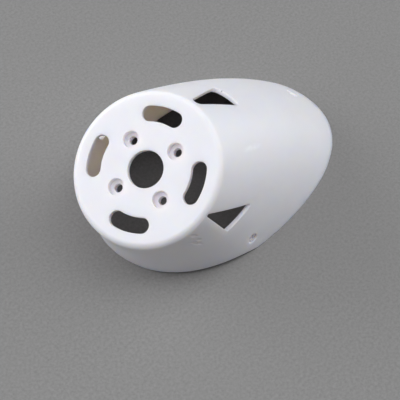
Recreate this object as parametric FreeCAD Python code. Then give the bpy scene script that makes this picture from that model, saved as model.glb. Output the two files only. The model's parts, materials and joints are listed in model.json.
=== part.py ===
# Model aircraft firewall: a one-piece moulded nose shell. Its flat front face carries the
# motor, its flared skin runs back to an oblique rim that meets the fuselage.
#
# The shell is drawn about the thrust line: the face lies in the plane Z = 0 and looks along
# +Z, the body runs back along -Z, and +X is the crown, the long side. It is then tipped so
# that the rim lies level, with the long side towards +X and the origin at the middle of the
# bottom of its box.
import FreeCAD, Part
import math
import os

Vector = FreeCAD.Vector

# Front face and skin
face_radius = 28.2          # outside of the skin at the face
face_round = 2.6            # outer edge of the face
plate_thickness = 2.0
wall = 1.5                  # skin, measured square to its surface

# Profile lines, each a parabola from the edge of the face: the angle to the thrust line at
# which it starts, and the radius that it reaches at its own depth behind the face
crown_angle = 24.5
crown_radius = 56.0
crown_depth = 90.0
keel_angle = 4.0
keel_radius = 33.2
keel_depth = 24.0
flank_angle = 10.6
flank_radius = 38.7
flank_depth = 90.0
widest_rise = 0.015         # climb of the widest line towards the crown, per mm of depth
round_fullness = math.sqrt(0.5)     # shoulder weight of a true ellipse
crown_fullness = 0.97       # the same in the crown half, grown to at the depth of the crown

# Rim: level when the shell stands
rim_angle = 36.6            # between the face and the rim plane
face_height = 37.9          # centre of the face above the rim plane
arch_rise = 2.3             # shallow arch under each flank, between keel and screw
arch_span = 36.0
arch_middle = 7.5           # from under the centre of the face, towards the crown

# Motor mounting, all turned together about the thrust line
pattern_turn = 18.5         # first slot from the crown
shaft_hole_radius = 6.85
bolt_circle = 25.0
bolt_hole_radius = 1.6
bolt_head_radius = 3.1
bolt_head_depth = 2.3
bolt_floor = 2.7            # material under a bolt head
bolt_boss_wall = 1.5
slot_count = 4
slot_radius = 20.1
slot_width = 5.8
slot_half_angle = 14.3      # centre of the slot to the centre of its round end

# Three-cornered vents: one in the crown and a pair in the flanks. Their front corners are
# where the long edges would meet, in front of the face, and the rounding brings them back.
crown_vent_front = 4.5      # front corner before the face
crown_vent_depth = 24.1
crown_vent_width = 12.9
crown_vent_round = 2.0
flank_vent_front = (-0.8, -0.2)     # x and depth of the front corner
flank_vent_high = (11.0, 24.4)      # x and depth of the corner nearer the crown
flank_vent_low = (-2.2, 19.2)       # x and depth of the corner nearer the keel
flank_vent_round = 0.7

# Fuselage screws: one in the crown and one in each flank, each in a round recess
crown_screw_height = 9.2    # above the rim plane
flank_screw_height = 7.2
screw_hole_radius = 1.1
screw_head_radius = 2.2
screw_head_depth = 1.0
screw_floor = 1.2           # material under a screw head
screw_boss_wall = 1.3

# Rounding and construction
inner_round = 1.1           # inside corner between plate and skin
section_count = 7           # outlines that the skin is lofted through
cut_margin = 5.0            # how far cutting shapes run past what they cut
same_place = 1e-4           # lengths closer than this count as equal


def sine(degrees):
    return math.sin(math.radians(degrees))


def cosine(degrees):
    return math.cos(math.radians(degrees))


def profile_terms(angle, radius, depth):
    """Slope at the face and bend of a parabola that starts at the edge of the face."""
    slope = math.tan(math.radians(angle))
    bend = (radius - face_radius - slope * depth) / depth ** 2
    return slope, bend


crown_line = profile_terms(crown_angle, crown_radius, crown_depth)
keel_line = profile_terms(keel_angle, keel_radius, keel_depth)
flank_line = profile_terms(flank_angle, flank_radius, flank_depth)


def profile_slope(line, depth):
    slope, bend = line
    return slope + 2 * bend * depth


def profile_radius(line, depth, inset):
    """Distance of a profile line from the thrust line, less a skin measured square to it."""
    slope, bend = line
    steepness = math.hypot(1.0, profile_slope(line, depth))
    return face_radius + slope * depth + bend * depth ** 2 - inset * steepness


def depth_at_height(line, height):
    """Depth at which a profile line on the crown side comes down to a height above the rim."""
    slope, bend = line
    square = bend * sine(rim_angle)
    linear = slope * sine(rim_angle) - cosine(rim_angle)
    constant = face_height + face_radius * sine(rim_angle) - height
    root = math.sqrt(linear ** 2 - 4 * square * constant)
    return 2 * constant / (root - linear)


def quarter_arc(centre, first, second, fullness):
    """Conic quarter of a section, from centre + first round to centre + second."""
    curve = Part.BSplineCurve()
    poles = [centre + first, centre + first + second, centre + second]
    weights = [1.0, fullness, 1.0]
    curve.buildFromPolesMultsKnots(poles, [3, 3], [0.0, 1.0], False, 2, weights)
    return curve.toShape()


def section(depth, inset):
    """Closed outline across the thrust line: a crown half and a keel half that meet on the
    widest line. It is a circle at the face, and its crown half grows fuller behind it."""
    widest = widest_rise * depth
    fullness = round_fullness + (crown_fullness - round_fullness) * depth / crown_depth
    centre = Vector(widest, 0, -depth)
    crown = Vector(profile_radius(crown_line, depth, inset) - widest, 0, 0)
    keel = Vector(-profile_radius(keel_line, depth, inset) - widest, 0, 0)
    flank = Vector(0, profile_radius(flank_line, depth, inset), 0)
    quarters = [
        quarter_arc(centre, crown, flank, fullness),
        quarter_arc(centre, flank, keel, round_fullness),
        quarter_arc(centre, keel, -flank, round_fullness),
        quarter_arc(centre, -flank, crown, fullness),
    ]
    return Part.Wire(quarters)


def flared_body(start, inset):
    """Solid flared nose from a starting depth to a little past the rim."""
    end = depth_at_height(crown_line, 0.0) + cut_margin
    step = (end - start) / (section_count - 1)
    sections = [section(start + index * step, inset) for index in range(section_count)]
    return Part.makeLoft(sections, True, False)


def edges_in_plane(shape, depth):
    """Edges that lie wholly at one depth."""
    found = []
    for edge in shape.Edges:
        heights = [vertex.Point.z for vertex in edge.Vertexes]
        if all(abs(height + depth) < same_place for height in heights):
            found.append(edge)
    return found


def rounded_nose(start, inset, radius):
    body = flared_body(start, inset)
    return body.makeFillet(radius, edges_in_plane(body, start))


def thrust_cylinder(radius, front, back, x=0.0, y=0.0):
    """Cylinder along the thrust line between two depths."""
    return Part.makeCylinder(radius, back - front, Vector(x, y, -back))


def shaft_cut():
    return thrust_cylinder(shaft_hole_radius, -cut_margin, plate_thickness + cut_margin)


def bolt_places():
    """Centres of the motor bolts, midway between the slots."""
    places = []
    for index in range(slot_count):
        angle = pattern_turn + (index + 0.5) * 360.0 / slot_count
        places.append((bolt_circle / 2 * cosine(angle), bolt_circle / 2 * sine(angle)))
    return places


def bolt_bosses():
    """Round pads behind the plate that hold the floors under the bolt heads."""
    back = bolt_head_depth + bolt_floor
    front = plate_thickness / 2
    radius = bolt_head_radius + bolt_boss_wall
    return [thrust_cylinder(radius, front, back, x, y) for x, y in bolt_places()]


def bolt_cuts():
    cuts = []
    for x, y in bolt_places():
        back = bolt_head_depth + bolt_floor + cut_margin
        cuts.append(thrust_cylinder(bolt_hole_radius, -cut_margin, back, x, y))
        cuts.append(thrust_cylinder(bolt_head_radius, -cut_margin, bolt_head_depth, x, y))
    return cuts


def around(radius, angle):
    return Vector(radius * cosine(angle), radius * sine(angle), 0)


def curved_slot(middle):
    """Slot along an arc about the thrust line, with round ends."""
    half = slot_half_angle
    inner = slot_radius - slot_width / 2
    outer = slot_radius + slot_width / 2
    overrun = math.degrees(slot_width / 2 / slot_radius)
    sides = [
        Part.Arc(around(outer, middle - half), around(outer, middle),
                 around(outer, middle + half)),
        Part.Arc(around(outer, middle + half), around(slot_radius, middle + half + overrun),
                 around(inner, middle + half)),
        Part.Arc(around(inner, middle + half), around(inner, middle),
                 around(inner, middle - half)),
        Part.Arc(around(inner, middle - half), around(slot_radius, middle - half - overrun),
                 around(outer, middle - half)),
    ]
    face = Part.Face(Part.Wire([side.toShape() for side in sides]))
    face.translate(Vector(0, 0, cut_margin))
    return face.extrude(Vector(0, 0, -cut_margin - plate_thickness - cut_margin))


def slot_cuts():
    step = 360.0 / slot_count
    return [curved_slot(pattern_turn + index * step) for index in range(slot_count)]


def rounded_prism(corners, direction, radius):
    """Prism over a polygon, with its long edges rounded."""
    face = Part.Face(Part.makePolygon(corners + corners[:1]))
    prism = face.extrude(direction)
    long_edges = []
    for edge in prism.Edges:
        if abs(edge.Length - direction.Length) < same_place:
            long_edges.append(edge)
    return prism.makeFillet(radius, long_edges)


def crown_vent():
    """Opening in the crown, narrow towards the face, cut straight outwards."""
    half = crown_vent_width / 2
    inside = face_radius / 2
    corners = [
        Vector(inside, 0, crown_vent_front),
        Vector(inside, half, -crown_vent_depth),
        Vector(inside, -half, -crown_vent_depth),
    ]
    return rounded_prism(corners, Vector(crown_radius, 0, 0), crown_vent_round)


def flank_vent(side):
    """Opening in one flank: its rear edge leans as the rim does, cut straight sideways."""
    inside = side * face_radius / 2
    places = (flank_vent_front, flank_vent_high, flank_vent_low)
    corners = [Vector(x, inside, -depth) for x, depth in places]
    return rounded_prism(corners, Vector(0, side * flank_radius, 0), flank_vent_round)


def skin_place(line, depth, sideways):
    """Point on a profile line and the direction square to the skin there, outwards."""
    outwards = Vector(sideways.x, sideways.y, profile_slope(line, depth))
    outwards.normalize()
    point = sideways * profile_radius(line, depth, 0.0) - Vector(0, 0, depth)
    return point, outwards


def screw_places():
    """Where the fuselage screws enter the skin, with their axes."""
    flank = (face_height - flank_screw_height) / cosine(rim_angle)
    crown = depth_at_height(crown_line, crown_screw_height)
    return [
        skin_place(crown_line, crown, Vector(1, 0, 0)),
        skin_place(flank_line, flank, Vector(0, 1, 0)),
        skin_place(flank_line, flank, Vector(0, -1, 0)),
    ]


def inward_cylinder(place, radius, start, end):
    """Cylinder square to the skin between two depths below its surface."""
    point, outwards = place
    return Part.makeCylinder(radius, end - start, point - outwards * end, outwards)


def screw_bosses():
    """Pads inside the skin that hold the floors under the screw heads."""
    radius = screw_head_radius + screw_boss_wall
    end = screw_head_depth + screw_floor
    return [inward_cylinder(place, radius, wall / 2, end) for place in screw_places()]


def screw_cuts():
    cuts = []
    end = screw_head_depth + screw_floor + cut_margin
    for place in screw_places():
        cuts.append(inward_cylinder(place, screw_hole_radius, -cut_margin, end))
        cuts.append(inward_cylinder(place, screw_head_radius, -cut_margin, screw_head_depth))
    return cuts


def below_rim():
    """Block that takes away everything under the rim plane."""
    reach = crown_radius + crown_depth
    block = Part.makeBox(2 * reach, 2 * reach, reach)
    block.translate(Vector(-reach, -reach, -reach))
    return block


def rim_arch():
    """Wide cylinder across the shell that lifts the rim in a shallow arch."""
    half = arch_span / 2
    radius = (half ** 2 + arch_rise ** 2) / (2 * arch_rise)
    reach = flank_radius + cut_margin
    start = Vector(arch_middle, -reach, arch_rise - radius)
    return Part.makeCylinder(radius, 2 * reach, start, Vector(0, 1, 0))


def stand_up(shape):
    """Tip the shell from the thrust line onto its level rim."""
    shape.rotate(Vector(0, 0, 0), Vector(0, 1, 0), -rim_angle)
    shape.translate(Vector(0, 0, face_height))
    return shape


def centred(shape):
    """Move the middle of the bottom of the box to the origin."""
    box = shape.optimalBoundingBox(False)
    shape.translate(Vector(-box.Center.x, -box.Center.y, -box.ZMin))
    return shape


def firewall_shell():
    outer = rounded_nose(0.0, 0.0, face_round)
    hollow = rounded_nose(plate_thickness, wall, inner_round)
    shell = outer.cut(hollow)
    shell = shell.fuse(bolt_bosses() + screw_bosses())
    shell = shell.cut([shaft_cut()])
    shell = shell.cut(bolt_cuts() + slot_cuts())
    shell = shell.cut([crown_vent(), flank_vent(1), flank_vent(-1)])
    shell = shell.cut(screw_cuts())
    shell = stand_up(shell)
    shell = shell.cut([below_rim(), rim_arch()])
    return centred(shell)


def main():
    os.makedirs("parts", exist_ok=True)
    shell = firewall_shell()
    shell.exportStep("parts/firewall_shell.step")
    box = shell.optimalBoundingBox(False)
    print("solids", len(shell.Solids), "valid", shell.isValid(), "volume", round(shell.Volume, 1))
    print("box", [round(value, 2) for value in (box.XMin, box.XMax, box.YMin, box.YMax,
                                                box.ZMin, box.ZMax)])


main()
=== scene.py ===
# %% [markdown]
# # A moulded nose firewall for a model aircraft
#
# The real object is one white plastic moulding: a flat round motor face with slots and
# recessed screw holes, and a flared skin that runs back to a slanted open rim. It stands on
# that rim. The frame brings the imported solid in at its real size, in metres, and everything
# here is placed around it.

# %% Load the frame
import json
import math

import bmesh
import bpy
from mathutils import Matrix, Vector


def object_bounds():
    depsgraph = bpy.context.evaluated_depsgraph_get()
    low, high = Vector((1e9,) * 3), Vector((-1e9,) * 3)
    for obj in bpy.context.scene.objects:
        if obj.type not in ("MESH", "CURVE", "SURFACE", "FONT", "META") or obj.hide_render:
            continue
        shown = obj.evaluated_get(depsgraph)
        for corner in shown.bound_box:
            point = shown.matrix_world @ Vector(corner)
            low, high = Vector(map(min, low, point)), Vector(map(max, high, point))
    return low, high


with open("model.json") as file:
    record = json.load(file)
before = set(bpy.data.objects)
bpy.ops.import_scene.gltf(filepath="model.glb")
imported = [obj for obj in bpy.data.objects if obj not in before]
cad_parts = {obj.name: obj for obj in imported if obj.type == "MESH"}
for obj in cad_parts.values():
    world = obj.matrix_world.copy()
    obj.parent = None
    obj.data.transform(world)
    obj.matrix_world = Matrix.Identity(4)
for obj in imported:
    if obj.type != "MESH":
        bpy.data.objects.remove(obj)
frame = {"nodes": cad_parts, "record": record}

millimetre = 0.001
shell = frame["nodes"]["firewall_shell"]
cad_low, cad_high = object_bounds()
print("shell box in mm", [round(side / millimetre, 1) for side in cad_high - cad_low])

# %% [markdown]
# ## Where things are on the shell
#
# The record gives the face centre and the direction of the thrust line, because the motor
# bolts are a mount. Every mark on the skin is measured from there: up the face towards the
# crown, sideways, and back along the thrust line.

# %% Axes of the motor face
mounts = {mount["name"]: mount for mount in frame["record"]["mounts"]}
thrust = Vector(mounts["motor_bolts"]["axis"]).normalized()
sideways = Vector((0, 1, 0))
crownwards = sideways.cross(thrust)
face_point = Vector(mounts["motor_face"]["pos_m"])
bolt_centre = Vector(mounts["motor_bolts"]["pos_m"])
face_centre = bolt_centre + thrust * (face_point - bolt_centre).dot(thrust)


def on_shell(crown, side, depth):
    """Point by its distance in mm towards the crown, to the side and behind the face."""
    place = crownwards * crown + sideways * side - thrust * depth
    return face_centre + place * millimetre


print("face centre", [round(c, 4) for c in face_centre])
print("thrust line", [round(c, 3) for c in thrust])

# %% [markdown]
# ## Soft edges
#
# A moulding has no knife edges: the mould's corners leave a fine round on every slot, hole
# and vent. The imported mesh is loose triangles, so a Weld modifier joins them, a planar
# Decimate turns the flat faces into whole polygons, and a narrow Bevel rounds the sharp
# edges. A Weighted Normal modifier then keeps the shading of the flat faces flat, because
# the bevel marks its own faces as the weaker ones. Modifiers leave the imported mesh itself
# as it is.

# %% Weld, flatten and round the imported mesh
same_point = 1e-6
flat_angle = math.radians(0.3)
sharp_angle = math.radians(32)
edge_round = 0.00022

weld = shell.modifiers.new("weld", "WELD")
weld.merge_threshold = same_point
flats = shell.modifiers.new("flats", "DECIMATE")
flats.decimate_type = "DISSOLVE"
flats.angle_limit = flat_angle
rounding = shell.modifiers.new("rounding", "BEVEL")
rounding.width = edge_round
rounding.segments = 2
rounding.limit_method = "ANGLE"
rounding.angle_limit = sharp_angle
rounding.face_strength_mode = "FSTR_AFFECTED"
flat_normals = shell.modifiers.new("flat_normals", "WEIGHTED_NORMAL")
flat_normals.mode = "FACE_AREA_WITH_ANGLE"
flat_normals.use_face_influence = True
for polygon in shell.data.polygons:
    polygon.use_smooth = True
finished = shell.evaluated_get(bpy.context.evaluated_depsgraph_get())
print("packed triangles", len(shell.data.polygons))
print("finished faces", len(finished.data.polygons))

# %% [markdown]
# ## Node helpers
#
# The finishes below are small node trees. Three helpers keep them readable: one adds a node
# and sets its inputs, one joins two sockets, and one starts a material that reads the
# object's own coordinates. Those are metres here, so a pattern keeps its real size.


# %% Helpers for nodes
def add_node(material, kind, inputs=None, **settings):
    """A node of one kind with its settings and unlinked inputs filled in."""
    node = material.node_tree.nodes.new(kind)
    for name, value in settings.items():
        setattr(node, name, value)
    for name, value in (inputs or {}).items():
        node.inputs[name].default_value = value
    return node


def join(material, source, target):
    """A link from one socket to another."""
    material.node_tree.links.new(source, target)


def blank_material(name):
    """A material with only its shader and output, and the object's own coordinates."""
    material = bpy.data.materials.new(name)
    material.use_nodes = True
    shader = material.node_tree.nodes["Principled BSDF"]
    place = add_node(material, "ShaderNodeTexCoord").outputs["Object"]
    return material, shader, place


plastic, shader, place = blank_material("white_moulded_plastic")
print("started", plastic.name)

# %% [markdown]
# ## Patterns from noise
#
# Moulded plastic and board vary without a plan, so their patterns come from noise. Noise
# keeps near the middle of its range, so it is stretched to the range that a finish needs.
# The first pattern is a slow drift of tone over the plastic.


# %% Noise, and the tone of the plastic
def noise(material, place, scale, detail, roughness=0.5):
    """Noise over the object's coordinates, as one grey value."""
    texture = add_node(material, "ShaderNodeTexNoise",
                       {"Scale": scale, "Detail": detail, "Roughness": roughness})
    join(material, place, texture.inputs["Vector"])
    return texture.outputs["Fac"]


def remap(material, value, low, high, to_low, to_high):
    """Stretch a value from one range to another, and stop at its ends."""
    node = add_node(material, "ShaderNodeMapRange", {"From Min": low, "From Max": high,
                                                     "To Min": to_low, "To Max": to_high})
    join(material, value, node.inputs["Value"])
    return node.outputs["Result"]


tone_scale = 55         # noise features to the metre, as in every scale below
tone = remap(plastic, noise(plastic, place, tone_scale, 3), 0.35, 0.65, 0, 1)
print("tone patches about", round(1 / tone_scale / millimetre), "mm across")

# %% [markdown]
# ## White moulded plastic
#
# The plastic is a bright white with a soft sheen. Its thin wall lets some light through,
# red further than blue, so the inside looks warm tan through the slots while the outside
# stays neutral. Subsurface scattering gives both from one material, with no lamp inside.
# A fifth of the light is left at the surface, which keeps small recesses crisp. Up close the
# skin has a fine even grain from the mould and a longer, very shallow waviness where the
# wall shrank.


# %% Base of the plastic
def blend_colour(material, share, first, second):
    """Mix two colours, each a socket or written out."""
    node = add_node(material, "ShaderNodeMix", data_type="RGBA")
    join(material, share, node.inputs["Factor"])
    for socket, colour in ((node.inputs[6], first), (node.inputs[7], second)):
        if isinstance(colour, tuple):
            socket.default_value = (*colour, 1)
        else:
            join(material, colour, socket)
    return node.outputs[2]


plastic_colour = (0.93, 0.862, 0.887)
plastic_shade = (0.91, 0.842, 0.87)
translucency = 0.8
light_reach = 0.006                     # how far red light goes inside the wall
reach_by_colour = (1.0, 0.76, 0.50)
grain_scale = 3800
waviness_scale = 130
gloss_scale = 420
glossiest, dullest = 0.36, 0.46

shader.inputs["IOR"].default_value = 1.5
shader.inputs["Specular IOR Level"].default_value = 0.45
shader.inputs["Subsurface Radius"].default_value = reach_by_colour
shader.inputs["Subsurface Scale"].default_value = light_reach
colour = blend_colour(plastic, tone, plastic_colour, plastic_shade)
grain = noise(plastic, place, grain_scale, 2)
waviness = noise(plastic, place, waviness_scale, 2)
gloss = remap(plastic, noise(plastic, place, gloss_scale, 4), 0.3, 0.7, glossiest, dullest)
print("roughness from", glossiest, "to", dullest)

# %% [markdown]
# ## Marks of use and a painted highlight
#
# The near flank has three short scuffs below the face, and the rear edge of the crown vent
# has a grey nick. The shoulder has one pale band, a painted highlight that stands for the
# soft reflection of a soft box's edge. Each is a ball of distance stretched along a line on
# the skin, so it sits in one place and nowhere else. Noise breaks up the scuffs and the
# painted highlight.


# %% Scuffs, painted highlight and nick
def arithmetic(material, operation, first, second):
    """Two values, or a value and a number, combined."""
    node = add_node(material, "ShaderNodeMath", operation=operation)
    for socket, value in zip(node.inputs, (first, second)):
        if isinstance(value, (int, float)):
            socket.default_value = value
        else:
            join(material, value, socket)
    return node.outputs["Value"]


def streak(material, place, start, end, width):
    """A soft mask along a short line on the skin: 1 on the line and 0 a width away."""
    middle = (start + end) / 2
    half = (end - start).length / 2
    turn = (end - start).to_track_quat("X", "Z").to_euler()
    mapping = add_node(material, "ShaderNodeMapping", {"Location": middle, "Rotation": turn,
                                                       "Scale": (half, width, width)},
                       vector_type="TEXTURE")
    join(material, place, mapping.inputs["Vector"])
    distance = add_node(material, "ShaderNodeVectorMath", operation="LENGTH")
    join(material, mapping.outputs["Vector"], distance.inputs[0])
    return remap(material, distance.outputs["Value"], full_share, 1.0, 1, 0)


full_share = 0.35       # part of a streak's width that is marked in full

# Ends of the marks: mm towards the crown, to the side and behind the face
scuff_lines = [
    ((-9.9, -26.8, 2.2), (-8.6, -28.2, 7.4)),
    ((-12.2, -26.6, 6.6), (-10.4, -28.7, 14.0)),
    ((-10.0, -27.8, 8.0), (-9.4, -28.6, 10.6)),
]
# A pale band on the shoulder, painted as a highlight for a soft box's reflection
highlight_line = ((24.2, -21.4, 12.2), (30.4, -21.0, 25.2))
nick = (38.0, 2.9, 23.9)
scuff_width = 0.0009
highlight_width = 0.0014
nick_size = 0.0007
scuff_break_scale = 1500
highlight_break_scale = 500

scuffs = None
for start, end in scuff_lines:
    one = streak(plastic, place, on_shell(*start), on_shell(*end), scuff_width)
    scuffs = one if scuffs is None else arithmetic(plastic, "MAXIMUM", scuffs, one)
broken = remap(plastic, noise(plastic, place, scuff_break_scale, 3), 0.35, 0.5, 0.2, 1)
scuffs = arithmetic(plastic, "MULTIPLY", scuffs, broken)

# Painted highlight: a pale band on the shoulder, broken up by noise
highlight_start, highlight_end = (on_shell(*point) for point in highlight_line)
painted_highlight = streak(plastic, place, highlight_start, highlight_end, highlight_width)
broken = remap(plastic, noise(plastic, place, highlight_break_scale, 3), 0.35, 0.6, 0.3, 1)
painted_highlight = arithmetic(plastic, "MULTIPLY", painted_highlight, broken)

nick_start = on_shell(*nick)
dent = streak(plastic, place, nick_start, nick_start + sideways * nick_size, nick_size)
# The pale band on the shoulder counted here is a painted highlight
print("marks", len(scuff_lines), "scuffs, a rub mark and a nick")

# %% [markdown]
# ## Colour and relief together
#
# A scuff is a shallow groove: paler, duller and too rough to let light into the wall. The
# painted highlight on the shoulder only changes the colour, and so does the nick. Relief on
# this scale is finer than any mesh, so two bumps carry it: a faint one for grain and
# waviness over the whole skin, and a deeper one, turned inwards, for the scuffs.

# %% Put the plastic together
# The pale scuff colour also paints the highlight band on the shoulder
scuff_and_highlight_colour = (1.0, 0.95, 0.98)
nick_colour = (0.36, 0.33, 0.31)
scuff_dullness = 0.25
opaque_from = 0.4       # strength of a scuff at which no light goes into the wall
grain_share, waviness_share = 0.10, 0.9
skin_relief = 0.00006
skin_relief_strength = 0.35
scuff_depth = 0.00042

colour = blend_colour(plastic, scuffs, colour, scuff_and_highlight_colour)
# Painted highlight: the band on the shoulder is made paler
colour = blend_colour(plastic, painted_highlight, colour, scuff_and_highlight_colour)
colour = blend_colour(plastic, dent, colour, nick_colour)
join(plastic, colour, shader.inputs["Base Color"])
see_through = remap(plastic, scuffs, 0.0, opaque_from, translucency, 0.0)
join(plastic, see_through, shader.inputs["Subsurface Weight"])
scuff_haze = arithmetic(plastic, "MULTIPLY", scuffs, scuff_dullness)
join(plastic, arithmetic(plastic, "ADD", gloss, scuff_haze), shader.inputs["Roughness"])

fine = arithmetic(plastic, "MULTIPLY", grain, grain_share)
slow = arithmetic(plastic, "MULTIPLY", waviness, waviness_share)
relief = add_node(plastic, "ShaderNodeBump",
                  {"Strength": skin_relief_strength, "Distance": skin_relief})
join(plastic, arithmetic(plastic, "ADD", fine, slow), relief.inputs["Height"])
grooves = add_node(plastic, "ShaderNodeBump", {"Strength": 1.0, "Distance": scuff_depth},
                   invert=True)
join(plastic, scuffs, grooves.inputs["Height"])
join(plastic, relief.outputs["Normal"], grooves.inputs["Normal"])
join(plastic, grooves.outputs["Normal"], shader.inputs["Normal"])

shell.data.materials.clear()
shell.data.materials.append(plastic)
print("plastic nodes", len(plastic.node_tree.nodes))

# %% [markdown]
# ## Floor
#
# The shell stands on a plain pale grey sheet. It is one large face, so that no edge shows.

# %% Floor sheet
floor_size = 4.0
floor_mesh = bpy.data.meshes.new("floor")
sheet = bmesh.new()
bmesh.ops.create_grid(sheet, x_segments=1, y_segments=1, size=floor_size / 2)
sheet.to_mesh(floor_mesh)
sheet.free()
floor = bpy.data.objects.new("floor", floor_mesh)
bpy.context.collection.objects.link(floor)
print("floor", floor_size, "m square")

# %% [markdown]
# ## Matt board
#
# The sheet has the fine mottling of a matt board, with slow clouds of a middle grey over it.

# %% Finish of the floor
board_dark = (0.186, 0.186, 0.186)
board_light = (0.268, 0.268, 0.268)
board_cloud = (0.21, 0.21, 0.21)
mottling_scale = 900
cloud_scale = 9
cloud_share = 0.35

board, board_shader, board_place = blank_material("matt_board")
mottling = remap(board, noise(board, board_place, mottling_scale, 5, 0.7), 0.3, 0.7, 0, 1)
cloud = remap(board, noise(board, board_place, cloud_scale, 2), 0.3, 0.7, 0, 1)
cloud = arithmetic(board, "MULTIPLY", cloud, cloud_share)
board_colour = blend_colour(board, mottling, board_dark, board_light)
board_colour = blend_colour(board, cloud, board_colour, board_cloud)
join(board, board_colour, board_shader.inputs["Base Color"])
board_shader.inputs["Roughness"].default_value = 0.9
board_shader.inputs["Specular IOR Level"].default_value = 0.15
floor.data.materials.append(board)
print("board nodes", len(board.node_tree.nodes))

# %% [markdown]
# ## Light
#
# A studio table with large soft boxes all round, so no shadow has an edge. Two strong low
# ones, beyond the shell and past its tip, shine through its openings and its wall. The high
# ones light the crown and the motor face, and a weak one low on the left lifts the skin
# under the face. Nothing else comes in low from the camera's side, so the gap under the
# arched rim stays dark.

# %% Soft boxes
box_distance = 1.1
box_size = 0.9
box_lights = [          # name, turn from +X and rise above the floor in degrees, watts
    ("far_low_box", 110, 15, 8.5),
    ("tip_low_box", -22, 15, 5.9),
    ("crown_box", -28, 55, 4.8),
    ("far_side_box", 150, 38, 3.9),
    ("front_box", -150, 70, 4.0),
    ("overhead_box", 0, 90, 2.1),
    ("left_low_box", -170, 18, 1.2),
]


def soft_box(name, direction, power):
    """A square area lamp that faces the middle of the shell."""
    lamp = bpy.data.lights.new(name, "AREA")
    lamp.shape = "SQUARE"
    lamp.size = box_size
    lamp.energy = power
    holder = bpy.data.objects.new(name, lamp)
    holder.location = (cad_low + cad_high) / 2 + direction.normalized() * box_distance
    holder.rotation_euler = direction.to_track_quat("Z", "Y").to_euler()
    bpy.context.collection.objects.link(holder)


for name, turn, rise, power in box_lights:
    turn, rise = math.radians(turn), math.radians(rise)
    direction = Vector((math.cos(rise) * math.cos(turn), math.cos(rise) * math.sin(turn),
                        math.sin(rise)))
    soft_box(name, direction, power)
print("soft boxes", len(box_lights))

# %% [markdown]
# ## Surround
#
# The soft boxes do nearly all the lighting. A very weak white surround stands for the light
# that a room's walls send back.

# %% Surround
surround_strength = 0.02
world = bpy.data.worlds.new("surround")
world.use_nodes = True
surround = world.node_tree.nodes["Background"]
surround.inputs["Color"].default_value = (1, 1, 1, 1)
surround.inputs["Strength"].default_value = surround_strength
bpy.context.scene.world = world
bpy.context.scene.view_settings.view_transform = "Standard"
print("surround strength", surround_strength)

# %% [markdown]
# ## Backdrop
#
# The lamps don't reach the far end of the sheet, and the surround behind it is dark, which
# shows in a view from low down. A real studio hangs grey paper there. Here the far sheet and
# the surround show the lit floor's grey to the camera alone, so they add no light to the
# shell.

# %% Grey paper for the camera
paper_grey = (0.25, 0.25, 0.25, 1)
fade_start = 0.3
fade_end = 0.8


def show_paper(material, share, lit, paper, output):
    """Let the camera see paper in place of a lit surface, as far as the share says."""
    mixer = add_node(material, "ShaderNodeMixShader")
    join(material, share, mixer.inputs[0])
    join(material, lit, mixer.inputs[1])
    join(material, paper, mixer.inputs[2])
    join(material, mixer.outputs[0], material.node_tree.nodes[output].inputs["Surface"])


sheet_distance = add_node(board, "ShaderNodeVectorMath", operation="LENGTH")
join(board, board_place, sheet_distance.inputs[0])
far_sheet = remap(board, sheet_distance.outputs["Value"], fade_start, fade_end, 0, 1)
seen = add_node(board, "ShaderNodeLightPath").outputs["Is Camera Ray"]
paper = add_node(board, "ShaderNodeEmission", {"Color": paper_grey}).outputs["Emission"]
show_paper(board, arithmetic(board, "MULTIPLY", far_sheet, seen),
           board_shader.outputs["BSDF"], paper, "Material Output")

seen = add_node(world, "ShaderNodeLightPath").outputs["Is Camera Ray"]
paper = add_node(world, "ShaderNodeBackground", {"Color": paper_grey}).outputs["Background"]
show_paper(world, seen, surround.outputs["Background"], paper, "World Output")
print("paper from", fade_start, "to", fade_end, "m")

# %% [markdown]
# ## Camera
#
# The camera looks down on the shell from the side of its motor face. Its turn, height,
# roll and distance come from fitting the shell's outline, and its long lens gives the
# gentle perspective of a product shot.

# %% Camera
view_turn = math.radians(-53.65)
view_height = math.radians(51.14)
view_roll = math.radians(6.01)
view_distance = 0.5303
aim = Vector((-0.0299, -0.0192, 0.0300))

back = Vector((math.sin(view_turn) * math.cos(view_height),
               -math.cos(view_turn) * math.cos(view_height), math.sin(view_height)))
camera_data = bpy.data.cameras.new("camera")
camera_data.sensor_width = 36.0
camera_data.lens = 135.0
camera_data.clip_start = 0.01
camera_data.clip_end = 20.0
camera = bpy.data.objects.new("camera", camera_data)
bpy.context.collection.objects.link(camera)
camera.rotation_mode = "QUATERNION"
upright = (-back).to_track_quat("-Z", "Y")
camera.rotation_quaternion = upright @ Matrix.Rotation(view_roll, 4, "Z").to_quaternion()
camera.location = aim + back * view_distance
bpy.context.scene.camera = camera
print("camera at", [round(c, 3) for c in camera.location])
